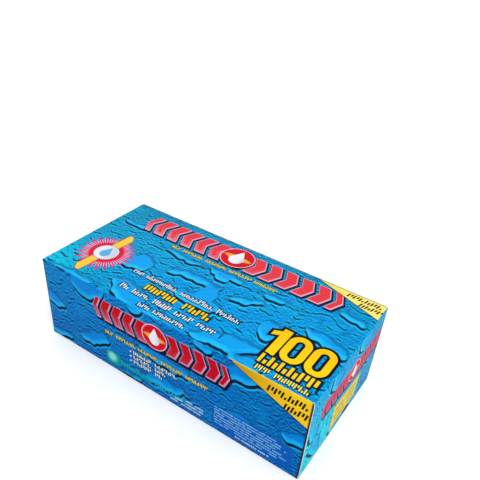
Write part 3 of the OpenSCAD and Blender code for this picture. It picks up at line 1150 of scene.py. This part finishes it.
class Glove:
    """One glove pressed flat: two layers of film that meet round the outline, a rolled cuff,
    and a thumb folded across the palm."""

    def __init__(self, number, level, detail):
        self.level = level
        self.facing = -1 if number % 2 else 1
        self.seed = number * 7.31
        self.top = number == 1
        self.detail = detail
        chance = random.Random(number)
        self.shift = (chance.uniform(-1.3, 1.3) * MM, chance.uniform(-1.2, 1.2) * MM)
        self.turn = math.radians(chance.uniform(-0.5, 0.5))
        self.puff = {1: 1.5, 2: 0.21, 3: 0.2}.get(number, 0.17) * MM
        self.mirror = chance.choice((-1, 1))

    def wrinkle(self, x, y):
        """Creases that run mostly along the glove, from 0 to about 1."""
        place = Vector((x * 22 + self.seed, y * 60, self.seed * 0.7))
        ridge = 1 - abs(noise.noise(place)) * 2.2
        place = Vector((x * 70, y * 45 + self.seed, self.seed * 0.3))
        cross = 1 - abs(noise.noise(place)) * 2.6
        return max(0.0, ridge) ** 3 * 0.7 + max(0.0, cross) ** 4 * 0.4

    def height(self, x, y, from_edge):
        """How far the upper layer stands above the middle of the glove."""
        bead = math.exp(-((x - 0.9 * MM) / (0.7 * MM)) ** 2)
        edge = math.sqrt(smooth(from_edge / (9 * MM)))
        rise = self.puff * edge + 0.30 * MM * bead
        thumb = to_capsule(x, y * self.mirror, (0.30 * GLOVE_L, -0.42 * GLOVE_W),
                           (0.52 * GLOVE_L, -0.02 * GLOVE_W))
        lift = smooth((13.5 * MM - thumb) / (2.2 * MM))
        if not self.top:
            return rise + 0.10 * MM * lift * edge + 0.05 * MM * self.wrinkle(x, y) * edge
        round_thumb = math.sqrt(smooth((14 * MM - thumb) / (11 * MM)))
        rise += 1.5 * MM * lift * round_thumb
        return rise + 2.4 * MM * self.wrinkle(x, y) * edge

    def place(self, x, y, rise):
        """From glove to carton."""
        lean_x = (x - GLOVE_L / 2) * math.cos(self.turn) - y * math.sin(self.turn)
        lean_y = (x - GLOVE_L / 2) * math.sin(self.turn) + y * math.cos(self.turn)
        across = self.facing * lean_x + self.shift[0]
        along = self.facing * lean_y + self.shift[1]
        swell = math.sin(across * 31 + 0.8) * math.sin(along * 47 + 1.9) + 0.6 * math.sin(across * 67)
        swell *= PILE_SWELL * 0.5 * self.level / GLOVE_HIGH.z
        return Vector((across, along, self.level + swell + rise))

    def add_to(self, bm):
        columns, palm_rows, finger_rows, tip_rows = self.detail
        palm, fingers = glove_rows(palm_rows, finger_rows, tip_rows)

        def layers(x, y, from_edge):
            """The upper and lower vertices, or one that they share at the outline."""
            if from_edge <= 0:
                vert = bm.verts.new(self.place(x, y, 0.0))
                return vert, vert
            up = self.height(x, y, from_edge)
            down = min(up, 0.2 * MM if self.top else 0.24 * MM)
            return bm.verts.new(self.place(x, y, up)), bm.verts.new(self.place(x, y, -down))

        def join(first, second):
            for side in (0, 1):
                for j in range(len(first) - 1):
                    ring = (first[j][side], first[j + 1][side], second[j + 1][side],
                            second[j][side])
                    corners = list(dict.fromkeys(ring))
                    if side:
                        corners.reverse()
                    face = bm.faces.new(corners)
                    face.smooth = True

        total = 4 * columns
        rows = []
        for x in palm:
            half = palm_half_width(x)
            row = []
            for j in range(total + 1):
                y = half * (2 * j / total - 1)
                side = half - abs(y)
                spread = smooth((x - PALM_L + 16 * MM) / (16 * MM))
                slit = abs((j + columns / 2) % columns - columns / 2) / columns * FINGER_W
                from_edge = side * (1 - spread) + min(side, slit + 4 * MM * (1 - spread)) * spread
                if x == 0 or j in (0, total):
                    from_edge = 0.0
                elif x == PALM_L and j % columns == 0:
                    from_edge = 0.0
                else:
                    from_edge = max(from_edge, 0.3 * MM)
                row.append(layers(x, y, from_edge))
            rows.append(row)
        for first, second in zip(rows, rows[1:]):
            join(first, second)
        for finger, reaches in enumerate(fingers):
            middle = (finger - 1.5) * FINGER_W
            last = rows[-1][finger * columns:(finger + 1) * columns + 1]
            for number, x in enumerate(reaches):
                half = finger_half_width(finger, x)
                row = []
                for j in range(columns + 1):
                    y = middle + half * (2 * j / columns - 1)
                    from_edge = half - abs(y - middle)
                    end = number == len(reaches) - 1
                    if end or j in (0, columns):
                        from_edge = 0.0
                    row.append(layers(x, y, from_edge))
                join(last, row)
                last = row


def crumple(piece):
    """Lets the upper film of a glove wrinkle: it is grown a little while its outline, its
    lower film and its cuff are held, in a short cloth simulation without gravity. How far
    the film may rise or sink is capped."""
    mesh = piece.data
    start = [vert.co.copy() for vert in mesh.vertices]
    upper = {index for face in mesh.polygons if face.normal.z > 0 for index in face.vertices}
    lower = {index for face in mesh.polygons if face.normal.z <= 0 for index in face.vertices}
    cuff = {vert.index for vert in mesh.vertices if vert.co.x > GLOVE_L / 2 - CUFF_HELD}
    loose = {vert.index for vert in mesh.vertices} - upper
    group = piece.vertex_groups.new(name="held")
    group.add(sorted(lower | cuff | loose), 1.0, "REPLACE")
    cloth = piece.modifiers.new("cloth", "CLOTH")
    settings = cloth.settings
    settings.quality = 8
    settings.mass = 0.05
    settings.tension_stiffness = 12
    settings.compression_stiffness = 12
    settings.shear_stiffness = 6
    settings.bending_stiffness = FILM_BENDING
    settings.shrink_min = -FILM_GROWTH
    settings.use_pressure = True
    settings.uniform_pressure_force = FILM_PRESSURE
    settings.vertex_group_mass = "held"
    settings.effector_weights.gravity = 0
    cloth.collision_settings.use_collision = False
    scene = bpy.context.scene
    for frame_number in range(1, FILM_FRAMES + 1):
        scene.frame_set(frame_number)
    result = piece.evaluated_get(bpy.context.evaluated_depsgraph_get())
    ends = [vert.co.copy() for vert in result.to_mesh().vertices]
    result.to_mesh_clear()
    piece.modifiers.remove(cloth)
    piece.vertex_groups.remove(group)
    scene.frame_set(1)
    for vert, first, last in zip(mesh.vertices, start, ends):
        step = last - first
        step.z = max(-FILM_SINK, min(FILM_TOP - first.z, step.z))
        vert.co = first + step
    piece.modifiers.new("smooth", "SUBSURF").levels = 1


def build_gloves(film):
    """The ten loose gloves on top, and the bundles of ten under them."""
    fine, middling, plain = (12, 60, 34, 7), (5, 16, 10, 4), (3, 7, 5, 3)

    def build(name, node, numbers, levels, detail):
        mesh = bpy.data.meshes.new(name)
        bm = bmesh.new()
        for number, level in zip(numbers, levels):
            Glove(number, level, detail).add_to(bm)
        bmesh.ops.recalc_face_normals(bm, faces=bm.faces)
        bm.to_mesh(mesh)
        bm.free()
        mesh.materials.append(film)
        piece = add_object(name, mesh)
        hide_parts(node)
        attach(piece, "root")
        return piece

    for number in range(1, LOOSE_GLOVES + 1):
        low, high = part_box(f"glove_{number:02d}")
        detail = fine if number == 1 else middling
        glove = build(f"glove_{number:02d}_film", f"glove_{number:02d}", [number],
                      [(low.z + high.z) / 2], detail)
        if number == 1:
            crumple(glove)
    for bundle in range(1, BUNDLES + 1):
        first = bundle * 10 + 1
        node = f"gloves_{first:03d}_{first + 9:03d}"
        low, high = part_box(node)
        half = (GLOVE_HIGH.z - GLOVE_LOW.z) / 2
        levels = even(high.z - half, low.z + half, 9)
        build(f"{node}_film", node, range(first, first + 10), levels, plain)


def nitrile_film():
    """Blue nitrile: satin, a little cloudy, paler where it is stretched or creased."""
    paint = Paint("nitrile_film")
    solid = paint.solid()
    paint.colour = srgb(36, 128, 198)
    cloud = paint.noise(solid, 22.0, 2.0, 0.5, seed=3)
    paint.ink(cloud.ramp(0.35, 0.65), srgb(50, 146, 214), 0.7)
    crease = paint.noise(solid, 5.0, 3.0, 0.55, stretch=(2.4, 1, 1), seed=9)
    paint.ink(abs(crease - 0.5).ramp(0.06, 0.0), srgb(96, 176, 232), 0.15)
    grip = paint.noise(solid, 0.55, 1.0, 0.5, seed=14)
    relief = grip * 0.35 + crease * 0.5
    return paint.finish(cloud.scaled(0.12, 0.36), bump=(relief, 0.3), specular=0.45)


# ---- camera, floor and light ---------------------------------------------------------

def make_camera():
    """The view from above the front right corner."""
    azimuth = math.radians(32.35)
    elevation = math.radians(36.31)
    roll = math.radians(-4.26)
    target = Vector((-0.6, 22.6, 64.0)) * MM
    back = Vector((math.sin(azimuth) * math.cos(elevation),
                   -math.cos(azimuth) * math.cos(elevation), math.sin(elevation)))
    data = bpy.data.cameras.new("camera")
    data.lens = 41.6
    data.sensor_width = 36.0
    data.shift_x = 0.0292
    data.shift_y = 0.0833
    camera = add_object("camera", data)
    turn = (-back).to_track_quat("-Z", "Y").to_matrix() @ Matrix.Rotation(-roll, 3, "Z")
    camera.matrix_world = Matrix.LocRotScale(target + back * 443.1 * MM, turn.to_quaternion(), None)
    bpy.context.scene.camera = camera


def make_stage():
    """A white floor, and plain soft light from above, from behind and from the right."""
    floor_mesh = bpy.data.meshes.new("floor")
    bm = bmesh.new()
    bmesh.ops.create_circle(bm, cap_ends=True, segments=96, radius=6.0)
    bm.to_mesh(floor_mesh)
    bm.free()
    floor = add_object("floor", floor_mesh)
    paint = Paint("floor_white")
    paint.colour = srgb(250, 250, 250)
    paint.finish(0.9, specular=0.1)
    floor_mesh.materials.append(paint.material)

    for name, place, size, power in (
            ("key", (0.9, -0.5, 1.5), 1.2, 16.0), ("back", (-0.9, 1.4, 1.3), 1.6, 5.0)):
        data = bpy.data.lights.new(name, "AREA")
        data.size = size
        data.energy = power
        lamp = add_object(name, data)
        lamp.location = place
        lamp.rotation_euler = (-Vector(place)).to_track_quat("-Z", "Y").to_euler()

    world = bpy.data.worlds.new("studio")
    world.use_nodes = True
    world.node_tree.nodes["Background"].inputs["Color"].default_value = (1, 1, 1, 1)
    world.node_tree.nodes["Background"].inputs["Strength"].default_value = 1.0
    bpy.context.scene.world = world
    bpy.context.scene.view_settings.view_transform = "Standard"


make_camera()
make_stage()

TOP_PRINT = top_print()
SIDE_PRINT = side_print()
END_PRINT = end_print()
BOTTOM_PRINT = bottom_print()
BARE = bare_board("bare_board", False)
FLAP_OUTSIDE = bare_board("bare_board_with_bleed_and_shade", True)
CUT = cut_edge()

tear_out_board = build_top((TOP_PRINT, BARE, CUT))
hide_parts("tear_out_panel")
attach(tear_out_board, "window")
build_side("front_panel_board", "front_panel", -1, (-CREASE_R, 0.0), 0.0,
           [(QUARTER_RUN, True), (HEIGHT - 2 * CREASE_R, False), (QUARTER_RUN, True)],
           (SIDE_PRINT, BARE, CUT), 1)
build_side("back_panel_board", "back_panel", 1, (0.0, 0.0), QUARTER,
           [(HEIGHT - CREASE_R, False), (QUARTER_RUN, True)], (SIDE_PRINT, BARE, CUT), -1)
build_bottom((BOTTOM_PRINT, BARE, CUT))
build_glue_flap((FLAP_OUTSIDE, BARE, CUT))
for end_name, end_side in (("right", 1), ("left", -1)):
    build_closure(end_side, end_name, (END_PRINT, BARE, CUT), (FLAP_OUTSIDE, BARE, CUT))
    for flap_where, flap_end in (("front", -1), ("back", 1)):
        build_dust_flap(end_side, flap_end, end_name, flap_where, (FLAP_OUTSIDE, BARE, CUT))

build_gloves(nitrile_film())

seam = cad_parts["seam_adhesive"]
seam.data.materials.clear()
seam.data.materials.append(dried_adhesive())
